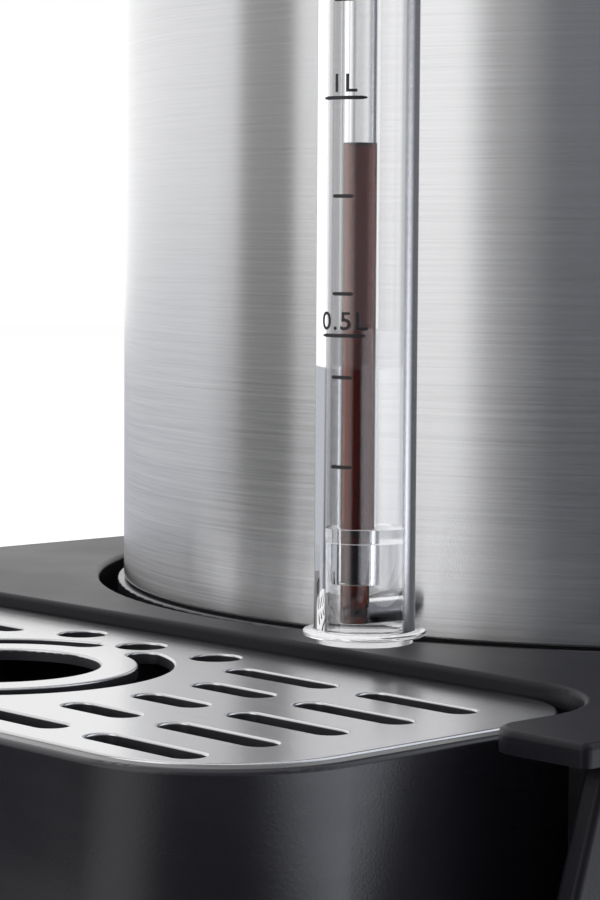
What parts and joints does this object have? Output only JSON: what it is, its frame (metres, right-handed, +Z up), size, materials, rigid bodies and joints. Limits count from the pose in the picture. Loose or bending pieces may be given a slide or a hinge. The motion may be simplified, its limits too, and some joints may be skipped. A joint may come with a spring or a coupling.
{
  "type": "airpot",
  "caption": "Push-top airpot with a sight gauge, standing in the recess of a black stand with a slotted drip tray below its spout.",
  "frame": {"origin": "middle of the part's box, on the floor under the stand's feet", "axes": "+Z up; the spout and the drip tray face -Y; +X is to the right seen from the front"},
  "size_m": [0.1834, 0.2568, 0.3264],
  "materials": {
    "stand_plastic": "fine grained, satin",
    "base_plastic": "matte",
    "tray_plastic": "satin",
    "lid_plastic": "semi-gloss",
    "pump_plastic": "satin",
    "inner_plastic": "natural white",
    "rubber_black": "matte",
    "silicone": "translucent white",
    "shell_steel": "brushed around the body",
    "grate_steel": "fine satin",
    "vessel_steel": "polished inside",
    "clear_shield": "clear plastic tube",
    "gauge_glass": "clear glass tube",
    "pin_steel": "turned",
    "spring_steel": "wire"
  },
  "bodies": {
    "stand": {"stand_top": "stand_plastic", "stand_skirt": "stand_plastic", "base_panel": "base_plastic", "tray_bay": "base_plastic", "stand_feet": "rubber_black", "stand_screws": "pin_steel", "recess_pad": "rubber_black"},
    "tray": {"drip_tray": "tray_plastic"},
    "grate": {"drip_grate": "grate_steel"},
    "foot": {"foot_ring": "stand_plastic"},
    "airpot": {"outer_shell": "shell_steel", "bottom_cover": "base_plastic", "bottom_screws": "pin_steel", "vessel_cushion": "rubber_black", "vessel_floor": "vessel_steel", "inner_vessel": "vessel_steel", "vessel_shoulder": "vessel_steel", "neck_ring": "vessel_steel", "feed_pipe": "vessel_steel", "gauge_socket": "clear_shield", "gauge_shield": "clear_shield", "gauge_tube": "gauge_glass", "gauge_seals": "silicone", "gauge_cap": "lid_plastic", "collar": "lid_plastic", "neck_insert": "inner_plastic", "neck_gasket": "silicone", "riser_tube": "inner_plastic", "riser_seal": "silicone", "hinge_pin": "pin_steel", "handle_pins": "pin_steel"},
    "lid": {"lid_housing": "lid_plastic", "pump_well": "lid_plastic", "spout_housing": "lid_plastic", "lid_inner_cover": "inner_plastic", "bellows_base": "inner_plastic", "check_valve": "silicone", "lid_gasket": "silicone", "spout_pipe": "inner_plastic", "spout_nozzle": "lid_plastic", "lid_screws": "pin_steel", "bellows": "silicone", "pump_spring": "spring_steel", "latch_spring": "spring_steel"},
    "pump": {"push_plate": "pump_plastic", "air_valve": "silicone"},
    "lock": {"pump_lock": "pump_plastic"},
    "latch": {"lid_latch": "pump_plastic"},
    "handle": {"carry_handle": "lid_plastic", "handle_grip": "rubber_black"}
  },
  "joints": [
    {"name": "tray_slide", "type": "slide", "parent": "stand", "child": "tray", "axis": [0, -1, 0], "range_m": [0, 0.12]},
    {"name": "grate_tilt", "type": "hinge", "parent": "tray", "child": "grate", "pos_m": [0, -0.06661, 0.0581], "axis": [1, 0, 0], "range_deg": [-45, 0]},
    {"name": "airpot_lift", "type": "slide", "parent": "stand", "child": "foot", "axis": [0, 0, 1], "range_m": [0, 0.06]},
    {"name": "airpot_turn", "type": "hinge", "parent": "foot", "child": "airpot", "pos_m": [0, 0.02439, 0.0595], "axis": [0, 0, 1], "continuous": true},
    {"name": "lid_hinge", "type": "hinge", "parent": "airpot", "child": "lid", "pos_m": [0, 0.11039, 0.2704], "axis": [1, 0, 0], "range_deg": [-80, 0]},
    {"name": "pump_press", "type": "slide", "parent": "lid", "child": "pump", "axis": [0, 0, -1], "range_m": [0, 0.034], "stiffness_N_per_m": 400, "springref_m": -0.01, "deforming": ["bellows", "pump_spring"]},
    {"name": "pump_lock_slide", "type": "slide", "parent": "lid", "child": "lock", "axis": [0, -1, 0], "range_m": [0, 0.005]},
    {"name": "latch_press", "type": "slide", "parent": "lid", "child": "latch", "axis": [-1, 0, 0], "range_m": [0, 0.004], "stiffness_N_per_m": 600, "springref_m": -0.002, "deforming": ["latch_spring"]},
    {"name": "handle_swing", "type": "hinge", "parent": "airpot", "child": "handle", "pos_m": [0, 0.02439, 0.258], "axis": [1, 0, 0], "range_deg": [0, 105]}
  ]
}
